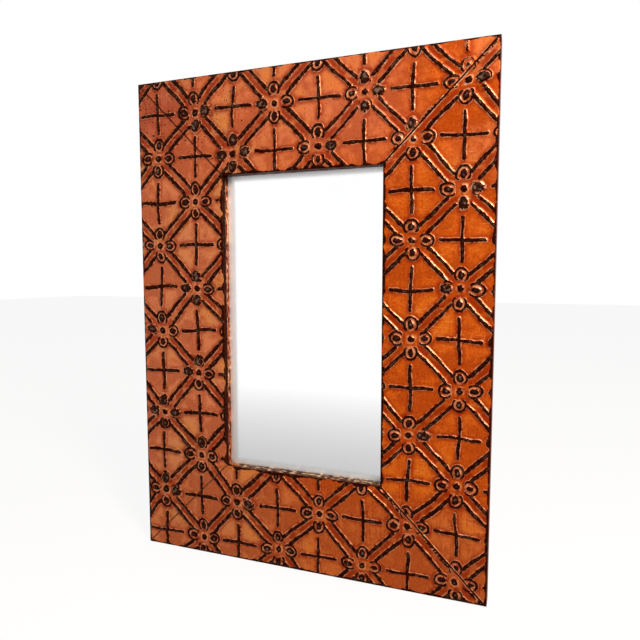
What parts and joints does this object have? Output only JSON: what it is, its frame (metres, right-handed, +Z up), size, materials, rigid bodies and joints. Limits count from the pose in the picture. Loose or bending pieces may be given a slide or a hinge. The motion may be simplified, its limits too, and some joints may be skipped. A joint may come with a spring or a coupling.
{
  "type": "wall mirror",
  "caption": "Upright wall mirror in a wide mitred wooden frame wrapped in embossed tin, with D-ring hangers on the back.",
  "frame": {"origin": "middle of the plane of the rails' back faces, which hangs against the wall", "axes": "+X to the right as one looks at the mirror, +Y into the wall, +Z up; the mirror faces -Y"},
  "size_m": [0.408, 0.0259, 0.559],
  "materials": {
    "pine": "planed, unfinished",
    "embossed_tin": "translucent copper-coloured lacquer, dark on the raised beads, worn to black at the folds",
    "mirror": "silvered float glass",
    "hardboard": "smooth pressed hardboard",
    "blued_steel": "blued",
    "v_nail_steel": "bright",
    "zinc_plated_steel": "zinc plated",
    "nickel_plated_steel": "nickel plated"
  },
  "bodies": {
    "frame": {"wood_rail_top": "pine", "tin_sheet_top": "embossed_tin", "hem_tacks_top": "blued_steel", "glazier_points_top": "zinc_plated_steel", "wood_rail_right": "pine", "tin_sheet_right": "embossed_tin", "hem_tacks_right": "blued_steel", "glazier_points_right": "zinc_plated_steel", "wood_rail_bottom": "pine", "tin_sheet_bottom": "embossed_tin", "hem_tacks_bottom": "blued_steel", "glazier_points_bottom": "zinc_plated_steel", "wood_rail_left": "pine", "tin_sheet_left": "embossed_tin", "hem_tacks_left": "blued_steel", "glazier_points_left": "zinc_plated_steel", "v_nails_top_left": "v_nail_steel", "v_nails_top_right": "v_nail_steel", "v_nails_bottom_right": "v_nail_steel", "v_nails_bottom_left": "v_nail_steel", "mirror_glass": "mirror", "backing_board": "hardboard", "hanger_screws": "zinc_plated_steel", "hanger_strap_left": "zinc_plated_steel", "hanger_strap_right": "zinc_plated_steel"},
    "ring_left": {"hanger_ring_left": "nickel_plated_steel"},
    "ring_right": {"hanger_ring_right": "nickel_plated_steel"}
  },
  "joints": [
    {"name": "hanger_ring_left_swing", "type": "hinge", "parent": "frame", "child": "ring_left", "pos_m": [-0.149, 0.00238, 0.1295], "axis": [1, 0, 0], "range_deg": [0, 174]},
    {"name": "hanger_ring_right_swing", "type": "hinge", "parent": "frame", "child": "ring_right", "pos_m": [0.149, 0.00238, 0.1295], "axis": [1, 0, 0], "range_deg": [0, 174]}
  ]
}
